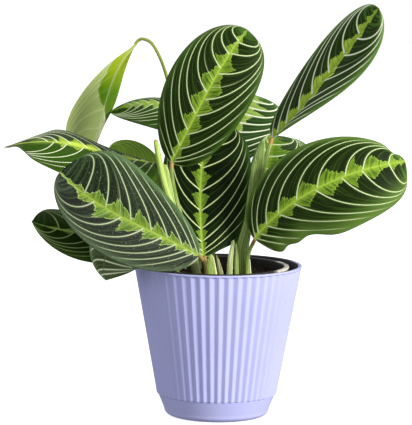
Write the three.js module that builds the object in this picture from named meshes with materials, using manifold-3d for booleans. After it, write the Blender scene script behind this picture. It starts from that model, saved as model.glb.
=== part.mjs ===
// A potted prayer plant: a fluted cover pot on its saucer, the nursery pot and potting soil
// inside it, and the plant's leaf blades, leaf stalks and rolled young leaves.
// Millimetres, +Z up, the origin on the surface that the saucer stands on, on the pots' axis.
import * as THREE from 'three';
import { mergeVertices } from 'three/addons/utils/BufferGeometryUtils.js';
import Module from 'manifold-3d';

const wasm = await Module();
wasm.setup();

// ---- Driving dimensions ----
const RIM_RADIUS = 71; // the cover pot's rim, about a 140 mm pot
const TOTAL_HEIGHT = 128; // floor to rim
const WALL_SLOPE = 0.183; // how far the wall leans out for each mm of height
const WALL = 3.2; // cover pot wall, at a ridge
const LIP_ROUND = 0.8; // how much the rims' corners are eased
const FLUTES = 55;
const FLUTE_TURN = -2.5; // degrees from the front to the nearest groove
const FLUTE_DEPTH = 1.7;
const FLUTE_TOP = 126.3; // the flutes stop below a plain lip
const SEAM_HEIGHT = 18.8; // where the fluted wall ends above the saucer
const SEAT_GAP = 0.3; // clearance between pieces that rest on one another
const ROUND_SIDES = 72; // sides of the smooth round pieces

const SAUCER_FOOT_RADIUS = 37.5;
const SAUCER_BEND_RADIUS = 44.4; // where its rounded corner meets its wall
const SAUCER_BEND_HEIGHT = 5.2;
const SAUCER_TOP_RADIUS = 49.8;
const SAUCER_WALL = 2.4;
const SAUCER_FLOOR = 2.7;

const COVER_FLOOR_TOP = 19;
const COVER_FLOOR = 3;
const FOOT_RING_RADIUS = 36.8; // the ring under the cover pot that stands in the saucer
const FOOT_RING_WIDTH = 2.4;
const FOOT_RING_TOP_RADIUS = 44.6;
const NURSERY_LIP_RADIUS = 60; // a 120 mm nursery pot
const NURSERY_LIP_WIDTH = 4.4;
const NURSERY_BASE_RADIUS = 41.5;
const NURSERY_WALL = 1.6;
const NURSERY_FLOOR = 2;
const NURSERY_LIP_DEPTH = 5;
const NURSERY_TOP = 127.5;
const SOIL_TOP = 119.5; // at the nursery pot's wall
const SOIL_CROWN = 2; // how much higher the soil stands in the middle
const SOIL_RELIEF = 0.45;

const BLADE_THICKNESS = 0.8;
const BLADE_ROWS = 12; // along the midrib
const HALF_COLUMNS = 4; // from the midrib to each margin
const BASE_HALF_WIDTH = 1.2;
const TIP_HALF_WIDTH = 0.8;

const STALK_FOOT = 108; // the height where the stalks end inside the soil
const STALK_SIDES = 8;
const STALK_STEPS = 9; // along a stalk or a sheath
const STALK_END_GAP = 0.9; // from a stalk's end to its blade's base edge
const STALK_END_SHARE = 0.5; // a stalk's end narrows to this share, as narrow as the blade's base
const SHEATH_FLATNESS = 0.4; // a sheath's thickness, as a share of its width
const HOLE_CLEARANCE = 0.35;
const VIEWED_FROM = new THREE.Vector3(0, -1, 0); // the plant's front, which sheaths lie flat to

// ---- Leaves ----
// rib: four points that the midrib passes through, at its thirds, from the base to the tip.
// face: the way the upper surface looks, at the base and at the tip.
// half: the widest reach of the left and the right half from the midrib.
// full: how each half's outline fills out towards the base and towards the tip.
// lift, curl: degrees that each half rises from the midrib, and that it turns back by its
// margin, at the base and at the tip.
// dent: places along a half where the margin draws in, each with its depth and its spread.
// stalk: the points the leaf stalk passes through up to the blade's base, with its radius at
// the foot and at the top. A point without a height is where it stands in the soil.
// shoots: what has grown together with the stalk, which are flat sheaths that taper to a point
// and young leaves that are still rolled: the points each passes through, half its width at
// the foot, how fast it tapers, and its thickness as a share of its width.
const leaves = {
  top_middle: {
    rib: [[-40, -8, 214], [-20.7, -18, 254], [-0.5, -18, 293], [22.6, -6, 326.5]],
    face: [[0, -1, 0.15], [0, -1, 0.2]], half: [37, 37], full: [[0.6, 0.52], [0.43, 0.34]],
    lift: [[15, 10], [15, 10]], curl: [[35, 35], [35, 35]],
    stalk: [[-15, -32], [-24, -33, 148], [-35, -26, 184], [-39.5, -13, 205]], radius: [2.6, 1.7],
    shoots: [
      { path: [[-15, -32], [-24, -35, 145], [-37, -34, 172], [-46.5, -15, 214]], half: 5, taper: 0.16 },
      { path: [[-24, -35, 145], [-38, -33, 178], [-47, -28, 205], [-53.3, -20, 235]],
        half: 3.1, taper: 0.15, flatness: 0.9 },
    ],
  },
  top_right: {
    rib: [[44, 10, 234], [75, 6, 269], [103, 0, 306], [131, -10, 346]],
    face: [[-0.74, -0.28, 0.62], [-0.57, -0.67, 0.48]], half: [35, 39.5], full: [[0.4, 0.46], [0.95, 0.52]],
    lift: [[22, 16], [22, 16]], curl: [[24, 30], [24, 30]],
    stalk: [[21, -12], [19, -14, 142], [24.5, -12, 166], [34, -1, 199]], radius: [2.6, 1.8],
    shoots: [
      { path: [[21, -13], [19.5, -16, 142], [25.5, -13, 167], [31, -8, 196], [37, -2, 233]],
        half: 4.8, taper: 0.24 },
      { path: [[25, -14, 167], [27, -13, 190], [30, -12, 219]], half: 3.6, taper: 0.4 },
    ],
  },
  right: {
    rib: [[30, -30, 153], [63, -42, 187], [107, -45, 210], [154.3, -30, 220]],
    face: [[0, -1, 0.35], [0, -1, 0.3]], half: [40, 43.5], full: [[0.56, 0.68], [0.3, 0.28]],
    lift: [[10, 10], [10, 10]], curl: [[40, 30], [30, 30]],
    dent: [[], [[0.12, 0.19, 0.06], [0.27, 0.26, 0.13]]],
    stalk: [[25, -19], [24.5, -20, 128], [25.5, -23, 141]], radius: [2, 1.5],
    shoots: [{ path: [[25.5, -19], [25.5, -19.5, 125], [24, -20.5, 144]], half: 2.6, taper: 0.3 }],
  },
  front_left: {
    rib: [[-15, -52, 142], [-55, -68, 164], [-94, -76, 185], [-130.3, -66, 212]],
    face: [[0, -1, 0.35], [0, -1, 0.3]], half: [35, 46], full: [[0.5, 0.52], [0.62, 0.26]],
    lift: [[10, 10], [10, 10]], curl: [[35, 35], [35, 35]],
    stalk: [[-10, -43], [-10, -44, 124], [-11.5, -47, 135]], radius: [2, 1.6],
  },
  far_left: {
    rib: [[-53, 40, 210], [-97, 18, 220.5], [-136, 2, 230], [-181, -4, 226]],
    face: [[0, -0.2, 0.98], [0, -0.48, 0.88]], half: [55.5, 51], full: [[0.6, 1], [1.1, 1.8]],
    lift: [[5, 5], [5, 14]], curl: [[35, 35], [35, 35]],
    dent: [[[0.94, 0.72, 0.055]], [[0.78, 0.14, 0.12]]],
    stalk: [[-24, 16], [-36, 22, 144], [-46, 30, 178]], radius: [2.4, 1.8],
  },
  young_drooping: {
    rib: [[-73, 80, 309], [-91.5, 80, 283], [-102, 79, 250], [-113.5, 78, 211]],
    face: [[-0.82, 0.57, 0.2], [-0.82, 0.57, 0.2]], half: [35, 27], full: [[1.6, 0.42], [1, 0.8]],
    lift: [[25, 25], [25, 25]], curl: [[20, 20], [20, 20]], dent: [[], [[0.82, 0.42, 0.16]]],
    stalk: [[-14, 16], [-24, 36, 180], [-37, 55, 245], [-47, 66, 286], [-57.5, 74, 308], [-66, 78, 313.5],
      [-71, 80, 312]], radius: [2.4, 1.2],
  },
  back_left: {
    rib: [[-15, 88, 238], [-41, 90, 254], [-69, 91, 257], [-96, 92, 249]],
    face: [[0, -0.33, 0.94], [0, -0.33, 0.94]], half: [35, 33.5], full: [[0.5, 0.7], [0.5, 0.85]],
    lift: [[0, 0], [0, 0]], curl: [[30, 30], [30, 30]],
    stalk: [[-4, 20], [-6, 46, 158], [-10, 70, 200]], radius: [2.4, 1.8],
  },
  behind_left: {
    rib: [[-57, 38, 165], [-61, 58, 188], [-74, 72, 205.5], [-97, 78, 214]],
    face: [[0.2, 0.9, -0.4], [0.2, 0.9, -0.4]], half: [20, 24], full: [[0.5, 0.42], [0.5, 0.42]],
    lift: [[0, 0], [0, 0]], curl: [[30, 30], [30, 30]],
    stalk: [[-27, 7], [-37, 16, 127], [-48, 28, 145]], radius: [2.4, 1.8],
  },
  low_left: {
    rib: [[-45, 5, 137], [-87, -2, 150], [-123, -8, 156], [-157, -8, 164]],
    face: [[0, -0.6, 0.75], [0, -0.5, 0.8]], half: [28.5, 39], full: [[1, 0.95], [0.5, 0.22]],
    lift: [[0, 0], [0, 0]], curl: [[30, 30], [30, 30]],
    stalk: [[-30, -5], [-33, -3, 118], [-38, 1, 128]], radius: [2.4, 1.8],
  },
  over_rim: {
    rib: [[-24, -28, 134], [-60, -44, 156], [-88, -49, 149], [-93, -49, 120]],
    face: [[0, -0.6, 0.75], [-0.4, -0.9, 0.2]], half: [30, 35], full: [[1.2, 0.22], [0.7, 1]],
    lift: [[0, 0], [0, 0]], curl: [[30, 30], [30, 30]],
    stalk: [[-19, -19], [-19, -20, 116], [-21, -24, 125]], radius: [2.4, 1.8],
  },
  centre: {
    rib: [[-12, -22, 137], [-15, -2, 173], [-14, 20, 212], [-6, 40, 249]],
    face: [[0, -1, 0.3], [0, -1, 0.3]], half: [34, 43], full: [[0.5, 0.35], [0.36, 0.28]],
    lift: [[10, 10], [10, 10]], curl: [[30, 30], [30, 30]], dent: [[], [[0.02, 0.45, 0.05]]],
    stalk: [[-6, -24], [-7, -23, 117], [-9, -22, 127]], radius: [2.4, 2],
  },
  behind_middle: {
    rib: [[3, 54, 204], [13, 60, 235], [20, 62, 253], [26, 62, 269]],
    face: [[0.1, -1, 0.3], [0.1, -1, 0.3]], half: [26, 37], full: [[0.5, 0.4], [0.5, 0.24]],
    lift: [[10, 10], [10, 10]], curl: [[30, 30], [30, 30]],
    stalk: [[12, 12], [15.5, 18, 136], [14, 30, 156], [7, 46, 184]], radius: [2.4, 1.8],
  },
  behind_right: {
    rib: [[27, 22, 161], [34, 26, 185], [40.5, 30, 209], [45, 34, 235.5]],
    face: [[0.3, -1, 0.2], [0.3, -1, 0.2]], half: [14, 43], full: [[0.5, 0.4], [0.5, 0.22]],
    lift: [[0, 0], [10, 10]], curl: [[30, 30], [30, 30]],
    stalk: [[20, 3], [22, 9, 128], [25, 16, 146]], radius: [2.4, 1.8],
  },
};

// Sheaths that stand by themselves among the stalks.
const sheaths = {
  sheath_pale: {
    path: [[9.5, -21], [9.8, -21, 130], [11, -19.5, 142], [12.8, -18, 151]], half: 3, taper: 0.35,
  },
  sheath_middle: {
    path: [[15.5, -18], [15.4, -18.5, 126], [15.2, -18.8, 139], [14.8, -18.8, 148]], half: 2.3, taper: 0.35,
  },
  sheath_front: {
    path: [[-5.5, -36], [-5.8, -36, 122], [-6.2, -36, 132], [-6, -36, 141]], half: 7, taper: 0.45,
  },
  sheath_striped: {
    path: [[3.2, -31], [2, -31, 123], [0.4, -31, 132], [-1.8, -31, 140]], half: 4, taper: 0.7,
  },
};
const SHEATH_TIP = 0.4; // half the width of a sheath's tip

// ---- Materials ----
const finish = (color, roughness) => new THREE.MeshStandardMaterial({ color, roughness, metalness: 0 });
const lavenderPlastic = finish(0xb9bce6, 0.55);
const greyPlastic = finish(0xdcd8cf, 0.5);
const pottingSoil = finish(0x33261f, 0.95);
const leafGreen = finish(0x2e4a26, 0.5);
const youngGreen = finish(0xa9c65e, 0.5);
const stalkGreen = finish(0x8fa85a, 0.55);

const plant = new THREE.Group();

function addPiece(name, geometry, material) {
  const mesh = new THREE.Mesh(geometry, material);
  mesh.name = name;
  plant.add(mesh);
}

// ---- Solids for the boolean cuts ----
function toSolid(geometry) {
  const bare = geometry.clone();
  bare.deleteAttribute('normal');
  bare.deleteAttribute('uv');
  const merged = mergeVertices(bare, 1e-4);
  return new wasm.Manifold(new wasm.Mesh({
    numProp: 3,
    vertProperties: new Float32Array(merged.attributes.position.array),
    triVerts: new Uint32Array(merged.index.array),
  }));
}

function toGeometry(solid) {
  const { vertProperties, triVerts } = solid.getMesh();
  const geometry = new THREE.BufferGeometry();
  geometry.setAttribute('position', new THREE.BufferAttribute(vertProperties, 3));
  geometry.setIndex(new THREE.BufferAttribute(triVerts, 1));
  return geometry;
}

// ---- Pots ----
// A turned body: a profile of [radius, height] pairs, spun about +Z.
function turned(profile, segments) {
  const points = profile.map(([r, z]) => new THREE.Vector2(r, z));
  return new THREE.LatheGeometry(points, segments).rotateX(Math.PI / 2);
}

const wallRadius = (z) => RIM_RADIUS - WALL_SLOPE * (TOTAL_HEIGHT - z);

// The fluted wall: every second line of the turned wall is drawn in by the flute depth.
function coverPot() {
  const top = TOTAL_HEIGHT;
  const easedTop = top - LIP_ROUND;
  const underside = COVER_FLOOR_TOP - COVER_FLOOR;
  const seat = SAUCER_FLOOR + SEAT_GAP;
  const profile = [
    [0, underside], [FOOT_RING_TOP_RADIUS - WALL, underside],
    [FOOT_RING_RADIUS - FOOT_RING_WIDTH, seat], [FOOT_RING_RADIUS, seat],
    [FOOT_RING_TOP_RADIUS, SEAM_HEIGHT],
    [wallRadius(SEAM_HEIGHT), SEAM_HEIGHT], [wallRadius(FLUTE_TOP), FLUTE_TOP],
    [wallRadius(easedTop - LIP_ROUND), easedTop - LIP_ROUND], [wallRadius(easedTop), easedTop],
    [RIM_RADIUS - LIP_ROUND, top], [RIM_RADIUS - WALL + LIP_ROUND, top],
    [wallRadius(easedTop) - WALL, easedTop],
    [wallRadius(COVER_FLOOR_TOP) - WALL, COVER_FLOOR_TOP], [0, COVER_FLOOR_TOP],
  ];
  const geometry = turned(profile, 2 * FLUTES);
  const position = geometry.attributes.position;
  for (let i = 0; i < position.count; i++) {
    const x = position.getX(i);
    const y = position.getY(i);
    const z = position.getZ(i);
    const radius = Math.hypot(x, y);
    const onWall = radius > wallRadius(z) - 0.01 && z < FLUTE_TOP + 0.01 && z > SEAM_HEIGHT - 0.01;
    const line = Math.round((Math.atan2(x, -y) / Math.PI) * FLUTES);
    if (onWall && line % 2 === 0) {
      const drawn = (radius - FLUTE_DEPTH) / radius;
      position.setXY(i, x * drawn, y * drawn);
    }
  }
  return geometry.rotateZ(THREE.MathUtils.degToRad(FLUTE_TURN));
}

// The saucer's corner is rounded between its foot and its wall.
function saucer() {
  const top = SEAM_HEIGHT - SEAT_GAP;
  const corner = [0, 1, 2, 3, 4].map((step) => {
    const angle = (Math.PI / 8) * step;
    const out = (SAUCER_BEND_RADIUS - SAUCER_FOOT_RADIUS) * Math.sin(angle);
    return [SAUCER_FOOT_RADIUS + out, SAUCER_BEND_HEIGHT * (1 - Math.cos(angle))];
  });
  return turned([
    [0, 0], ...corner, [SAUCER_TOP_RADIUS, top], [SAUCER_TOP_RADIUS - SAUCER_WALL, top],
    [SAUCER_BEND_RADIUS - SAUCER_WALL, SAUCER_BEND_HEIGHT],
    [SAUCER_FOOT_RADIUS, SAUCER_FLOOR], [0, SAUCER_FLOOR],
  ], ROUND_SIDES);
}

const nurseryInner = (z) => {
  const share = (z - COVER_FLOOR_TOP) / (NURSERY_TOP - COVER_FLOOR_TOP);
  return THREE.MathUtils.lerp(NURSERY_BASE_RADIUS, NURSERY_LIP_RADIUS - NURSERY_LIP_WIDTH, share);
};

function nurseryPot() {
  const base = COVER_FLOOR_TOP + SEAT_GAP;
  const inside = base + NURSERY_FLOOR;
  const lipBottom = NURSERY_TOP - NURSERY_LIP_DEPTH;
  const easedTop = NURSERY_TOP - LIP_ROUND;
  return turned([
    [0, base], [NURSERY_BASE_RADIUS, base], [nurseryInner(inside) + NURSERY_WALL, inside],
    [nurseryInner(lipBottom) + NURSERY_WALL, lipBottom], [NURSERY_LIP_RADIUS, lipBottom],
    [NURSERY_LIP_RADIUS, easedTop], [NURSERY_LIP_RADIUS - LIP_ROUND, NURSERY_TOP],
    [nurseryInner(NURSERY_TOP) + LIP_ROUND, NURSERY_TOP], [nurseryInner(easedTop), easedTop],
    [nurseryInner(inside), inside], [0, inside],
  ], ROUND_SIDES);
}

// ---- Soil ----
// Its top is crowned and lumpy, and each stalk stands in a hole.
function soil(stems) {
  const bottom = COVER_FLOOR_TOP + SEAT_GAP + NURSERY_FLOOR + SEAT_GAP;
  const edge = (z) => nurseryInner(z) - 2 * SEAT_GAP;
  const rings = [1, 0.86, 0.7, 0.52, 0.34, 0.17];
  const top = rings.map((r) => [edge(SOIL_TOP) * r, SOIL_TOP + SOIL_CROWN * (1 - r * r)]);
  const geometry = turned(
    [[0, bottom], [edge(bottom), bottom], ...top, [0, SOIL_TOP + SOIL_CROWN]], ROUND_SIDES / 2);
  const position = geometry.attributes.position;
  for (let i = 0; i < position.count; i++) {
    const [x, y, z] = [position.getX(i), position.getY(i), position.getZ(i)];
    const lumps = Math.sin(x * 0.41 + 1.3) * Math.cos(y * 0.37 - 0.6) + Math.sin((x - y) * 0.23);
    const fromEdge = 1 - Math.hypot(x, y) / edge(SOIL_TOP);
    if (z > SOIL_TOP - 1) position.setZ(i, z + SOIL_RELIEF * lumps * Math.min(1, 4 * fromEdge));
  }
  const holes = stems.map((shapes) => fused(shapes, HOLE_CLEARANCE));
  return toGeometry(holes.reduce((body, hole) => body.subtract(hole), toSolid(geometry)));
}

// ---- Stalks, sheaths and rolled leaves ----
// A body along a smooth curve, with half its width given along the curve. Its section is an
// ellipse that lies flat to the plant's front, and its ends are flat.
function tube({ curve, halfAt, flatness = 1, steps = STALK_STEPS }, clearance = 0) {
  const vertices = [];
  for (let i = 0; i <= steps; i++) {
    const centre = curve.getPointAt(i / steps);
    const along = curve.getTangentAt(i / steps);
    const side = along.clone().cross(VIEWED_FROM).normalize();
    const front = side.clone().cross(along);
    const half = halfAt(i / steps);
    if (i === 0) centre.addScaledVector(along, -clearance);
    for (let k = 0; k < STALK_SIDES; k++) {
      const angle = (2 * Math.PI * k) / STALK_SIDES;
      vertices.push(...centre.clone()
        .addScaledVector(side, (half + clearance) * Math.cos(angle))
        .addScaledVector(front, (half * flatness + clearance) * Math.sin(angle)).toArray());
    }
  }
  const index = [];
  for (let i = 0; i < steps; i++) {
    for (let k = 0; k < STALK_SIDES; k++) {
      const a = i * STALK_SIDES + k;
      const b = i * STALK_SIDES + ((k + 1) % STALK_SIDES);
      index.push(a, b + STALK_SIDES, b, a, a + STALK_SIDES, b + STALK_SIDES);
    }
  }
  const last = steps * STALK_SIDES;
  for (let k = 1; k < STALK_SIDES - 1; k++) {
    index.push(0, k, k + 1, last, last + k + 1, last + k);
  }
  const geometry = new THREE.BufferGeometry();
  geometry.setAttribute('position', new THREE.Float32BufferAttribute(vertices, 3));
  geometry.setIndex(index);
  return geometry;
}

const smoothCurve = (points) => new THREE.CatmullRomCurve3(
  points.map(([x, y, z = STALK_FOOT]) => new THREE.Vector3(x, y, z)), false, 'catmullrom');

// A stalk ends just short of its blade, and narrows there to the width of the blade's base.
function stalkShape(leaf) {
  const { point, along } = ribFrame(leaf, 0);
  const end = point.clone().addScaledVector(along, -STALK_END_GAP);
  const [foot, top] = leaf.radius;
  const halfAt = (t) => THREE.MathUtils.lerp(foot, top, t) * (t === 1 ? STALK_END_SHARE : 1);
  const steps = leaf.stalk.length > 4 ? 2 * STALK_STEPS : STALK_STEPS;
  return { curve: smoothCurve([...leaf.stalk, end.toArray()]), halfAt, steps };
}

function sheathShape({ path, half, taper, flatness = SHEATH_FLATNESS }) {
  const halfAt = (t) => SHEATH_TIP + (half - SHEATH_TIP) * (1 - t) ** taper;
  return { curve: smoothCurve(path), halfAt, flatness };
}

// The shapes of a stem that have grown together, as one body.
const fused = (shapes, clearance) => shapes
  .map((shape) => toSolid(tube(shape, clearance)))
  .reduce((body, shoot) => body.add(shoot));

// ---- Blades ----
const ribCurve = (rib) => {
  const [a, b, c, d] = rib.map((p) => new THREE.Vector3(...p));
  const mix = (...shares) => [a, b, c, d].reduce(
    (sum, p, i) => sum.addScaledVector(p, shares[i] / 6), new THREE.Vector3());
  return new THREE.CubicBezierCurve3(a, mix(-5, 18, -9, 2), mix(2, -9, 18, -5), d);
};

// The midrib's point, direction, upper side and right-hand side at a share of its length.
function ribFrame(leaf, u) {
  const curve = ribCurve(leaf.rib);
  const along = curve.getTangent(u);
  const [base, tip] = leaf.face.map((f) => new THREE.Vector3(...f));
  const up = base.lerp(tip, u);
  up.addScaledVector(along, -up.dot(along)).normalize();
  return { point: curve.getPoint(u), along, up, right: along.clone().cross(up) };
}

// A half's reach from the midrib: u^a (1-u)^b, scaled to 1 at its widest.
function reach(leaf, side, u) {
  const [a, b] = leaf.full[side];
  const widest = (a / (a + b)) ** a * (b / (a + b)) ** b;
  const width = (leaf.dent?.[side] ?? []).reduce(
    (w, [place, depth, spread]) => w * (1 - depth * Math.exp(-(((u - place) / spread) ** 2))),
    leaf.half[side] * u ** a * (1 - u) ** b / widest);
  return Math.max(width, u < 0.5 ? BASE_HALF_WIDTH : TIP_HALF_WIDTH);
}

// A point of the upper surface: across each half the blade follows an arc of a circle.
function bladePoint(leaf, u, v) {
  const side = v < 0 ? 0 : 1;
  const { point, up, right } = ribFrame(leaf, u);
  const at = (pair) => THREE.MathUtils.degToRad(THREE.MathUtils.lerp(pair[0], pair[1], u));
  const lift = at(leaf.lift[side]);
  const curl = at(leaf.curl[side]) + 1e-4;
  const turn = lift - curl * Math.abs(v);
  const width = reach(leaf, side, u) / curl;
  return point
    .addScaledVector(right, (side ? 1 : -1) * width * (Math.sin(lift) - Math.sin(turn)))
    .addScaledVector(up, width * (Math.cos(turn) - Math.cos(lift)));
}

// A closed blade: the upper surface, the same grid a thickness below it, and the edge.
function blade(leaf) {
  const columns = 2 * HALF_COLUMNS;
  const top = [];
  for (let i = 0; i <= BLADE_ROWS; i++) {
    const u = (1 - Math.cos((Math.PI * i) / BLADE_ROWS)) / 2;
    top.push([]);
    for (let j = 0; j <= columns; j++) top[i].push(bladePoint(leaf, u, j / HALF_COLUMNS - 1));
  }
  const clampTo = (i, most) => Math.min(Math.max(i, 0), most);
  const normalAt = (i, j) => {
    const alongLeaf = top[clampTo(i + 1, BLADE_ROWS)][j].clone().sub(top[clampTo(i - 1, BLADE_ROWS)][j]);
    const across = top[i][clampTo(j + 1, columns)].clone().sub(top[i][clampTo(j - 1, columns)]);
    return across.cross(alongLeaf).normalize();
  };
  const vertices = [];
  for (const depth of [0, BLADE_THICKNESS]) {
    top.forEach((row, i) => row.forEach((p, j) => {
      vertices.push(...p.clone().addScaledVector(normalAt(i, j), -depth).toArray());
    }));
  }
  const rowLength = columns + 1;
  const under = rowLength * (BLADE_ROWS + 1);
  const index = [];
  for (let i = 0; i < BLADE_ROWS; i++) {
    for (let j = 0; j < columns; j++) {
      const a = i * rowLength + j;
      const [b, c, d] = [a + 1, a + rowLength + 1, a + rowLength];
      index.push(a, b, c, a, c, d);
      index.push(under + a, under + c, under + b, under + a, under + d, under + c);
    }
  }
  const edge = (p, q) => index.push(p, under + p, under + q, p, under + q, q);
  for (let j = 0; j < columns; j++) {
    const last = BLADE_ROWS * rowLength + j;
    edge(j, j + 1);
    edge(last + 1, last);
  }
  for (let i = 0; i < BLADE_ROWS; i++) {
    const left = i * rowLength;
    edge(left + rowLength, left);
    edge(left + columns, left + columns + rowLength);
  }
  const geometry = new THREE.BufferGeometry();
  geometry.setAttribute('position', new THREE.Float32BufferAttribute(vertices, 3));
  geometry.setIndex(index);
  return geometry;
}

// ---- Assembly ----
addPiece('saucer', saucer(), lavenderPlastic);
addPiece('cover_pot', coverPot(), lavenderPlastic);
addPiece('nursery_pot', nurseryPot(), greyPlastic);

const stems = {};
for (const [name, leaf] of Object.entries(leaves)) {
  stems[`stalk_${name}`] = [stalkShape(leaf), ...(leaf.shoots ?? []).map(sheathShape)];
}
for (const [name, sheath] of Object.entries(sheaths)) stems[name] = [sheathShape(sheath)];
addPiece('potting_soil', soil(Object.values(stems)), pottingSoil);
for (const [name, shapes] of Object.entries(stems)) {
  addPiece(name, toGeometry(fused(shapes)), stalkGreen);
}
for (const [name, leaf] of Object.entries(leaves)) {
  addPiece(`blade_${name}`, blade(leaf), name === 'young_drooping' ? youngGreen : leafGreen);
}

export default plant;
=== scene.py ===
import math
from functools import partial

import bmesh
import bpy
import numpy as np
from mathutils import Matrix


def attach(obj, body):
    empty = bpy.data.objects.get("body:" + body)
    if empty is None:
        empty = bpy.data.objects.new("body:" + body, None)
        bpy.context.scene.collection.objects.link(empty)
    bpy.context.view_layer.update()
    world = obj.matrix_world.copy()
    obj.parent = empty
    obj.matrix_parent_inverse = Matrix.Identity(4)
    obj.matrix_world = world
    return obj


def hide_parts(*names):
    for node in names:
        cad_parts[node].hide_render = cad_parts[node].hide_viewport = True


# A potted prayer plant. Lengths are written in millimetres here and put into the meshes in metres.
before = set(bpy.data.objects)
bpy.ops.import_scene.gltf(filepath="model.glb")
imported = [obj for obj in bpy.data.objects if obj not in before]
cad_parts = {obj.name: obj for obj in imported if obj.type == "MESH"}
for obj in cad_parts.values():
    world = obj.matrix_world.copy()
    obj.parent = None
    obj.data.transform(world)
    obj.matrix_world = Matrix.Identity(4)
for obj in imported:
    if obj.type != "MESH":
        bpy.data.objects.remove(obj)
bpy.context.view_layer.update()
mm = 0.001
print("frame loaded:", len(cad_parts), "nodes")


def colour(hexValue):
    # an sRGB hex colour as linear red, green, blue and alpha
    parts = [int(hexValue[i:i + 2], 16) / 255 for i in (1, 3, 5)]
    return [c / 12.92 if c <= 0.04045 else ((c + 0.055) / 1.055) ** 2.4 for c in parts] + [1.0]


def addNode(tree, kind, inputs=(), out=0, stops=None, **settings):
    # adds a node with its settings, with values and links by socket or in the order of its sockets, and
    # with a ramp's stops, and gives one of its outputs
    made = tree.nodes.new("ShaderNode" + kind)
    for key, value in settings.items():
        setattr(made, key, value)
    for socket, value in inputs.items() if isinstance(inputs, dict) else enumerate(inputs):
        if isinstance(value, bpy.types.NodeSocket):
            tree.links.new(value, made.inputs[socket])
        else:
            made.inputs[socket].default_value = value
    if stops:
        ramp = made.color_ramp
        for place, value in stops[:len(stops) - 2]:
            ramp.elements.new(place)
        for element, (place, value) in zip(ramp.elements, stops):
            element.position = place
            element.color = value if isinstance(value, list) else [value] * 3 + [1.0]
    return made.outputs[out] if made.outputs else None


def newMaterial(name):
    # an empty material, and addNode for its tree
    material = bpy.data.materials.new(name)
    material.use_nodes = True
    material.node_tree.nodes.clear()
    return material, partial(addNode, material.node_tree)


def painted(node, tone, *layers):
    # lays one colour after another over a tone, each through its own mask
    for mask, over in layers:
        tone = node("Mix", {0: mask, 6: tone, 7: over}, data_type="RGBA", out=2)
    return tone


def allOf(node, mask, *others):
    # the product of masks, which is full only where all of them are
    for other in others:
        mask = node("Math", [mask, other], operation="MULTIPLY")
    return mask


# Meshes from grids
def gridQuads(rows, columns, closed=False):
    # the quads of a grid of rows x columns points, with the last column joined to the first if closed
    i, j = np.meshgrid(np.arange(rows - 1), np.arange(columns if closed else columns - 1), indexing="ij")
    k = (j + 1) % columns
    return np.stack([i * columns + j, i * columns + k, (i + 1) * columns + k, (i + 1) * columns + j],
                    -1).reshape(-1, 4)


def makePiece(name, points, quads, materials, nodes, values=None, cornerValues=None,
              materialIndex=None, weld=False):
    # a mesh object from points in mm and quads, that takes the place of some of the frame's nodes, with
    # float attributes on its points or its corners
    mesh = bpy.data.meshes.new(name)
    mesh.vertices.add(len(points))
    mesh.vertices.foreach_set("co", (np.asarray(points) * mm).astype(np.float32).ravel())
    mesh.loops.add(quads.size)
    mesh.loops.foreach_set("vertex_index", quads.astype(np.int32).ravel())
    mesh.polygons.add(len(quads))
    mesh.polygons.foreach_set("loop_start", np.arange(0, quads.size, 4, dtype=np.int32))
    if materialIndex is not None:
        mesh.polygons.foreach_set("material_index", materialIndex.astype(np.int32))
    mesh.update(calc_edges=True)
    for domain, table in (("POINT", values or {}), ("CORNER", cornerValues or {})):
        for key, array in table.items():
            kind = "FLOAT_VECTOR" if array.ndim > 1 else "FLOAT"
            attribute = mesh.attributes.new(key, kind, domain)
            attribute.data.foreach_set("vector" if array.ndim > 1 else "value",
                                       array.astype(np.float32).ravel())
    if weld:  # closes poles, where a row of the grid meets in one point
        shell = bmesh.new()
        shell.from_mesh(mesh)
        bmesh.ops.remove_doubles(shell, verts=shell.verts, dist=1e-6)
        shell.to_mesh(mesh)
        shell.free()
    mesh.shade_smooth()
    piece = bpy.data.objects.new(name, mesh)
    bpy.context.scene.collection.objects.link(piece)
    for material in materials:
        mesh.materials.append(material)
    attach(piece, "root")
    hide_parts(*nodes)
    return piece


def turned(profile, segments):
    # a profile of radius and height rows carried round the z axis: x = r sin a, y = -r cos a
    profile = np.asarray(profile, float)
    turn = np.arange(segments) / segments * 2 * np.pi
    r, z = profile[:, :1], profile[:, 1:]
    return np.stack([r * np.sin(turn), -r * np.cos(turn), z + 0 * turn], -1), turn


def rounded(corner, before, after, radius, steps=5):
    # a corner of a profile eased by an arc-like curve: a quadratic one between two points radius away
    corner, before, after = (np.asarray(p, float) for p in (corner, before, after))
    start = corner + (before - corner) / np.linalg.norm(before - corner) * radius
    end = corner + (after - corner) / np.linalg.norm(after - corner) * radius
    t = np.linspace(0, 1, steps)[:, None]
    return ((1 - t) ** 2 * start + 2 * t * (1 - t) * corner + t ** 2 * end).tolist()


def easedProfile(points, radii):
    # a profile whose inner points are eased by their radii, where 0 leaves a sharp point
    made = [list(points[0])]
    for before, corner, after, radius in zip(points, points[1:], points[2:], radii):
        made += rounded(corner, before, after, radius) if radius else [list(corner)]
    return made + [list(points[-1])]


def smoothstep(x, low, high):
    t = np.clip((x - low) / (high - low), 0, 1)
    return t * t * (3 - 2 * t)


# The lavender cover pot and its saucer
pot = dict(
    rimRadius=71, height=128, slope=0.183, wall=3.2,
    flutes=55, fluteTurn=-2.5, fluteDepth=1.7, fluteTop=126.6, fluteFade=0.9, seam=18.8,
    floorTop=19, floor=3, footRadius=36.8, footTopRadius=44.6, footWidth=2.4, seat=3.0)
saucerSizes = dict(footRadius=37.5, bendRadius=44.4, bendHeight=5.2, topRadius=49.8, top=18.5, wall=2.4,
                   floor=2.7)
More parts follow.
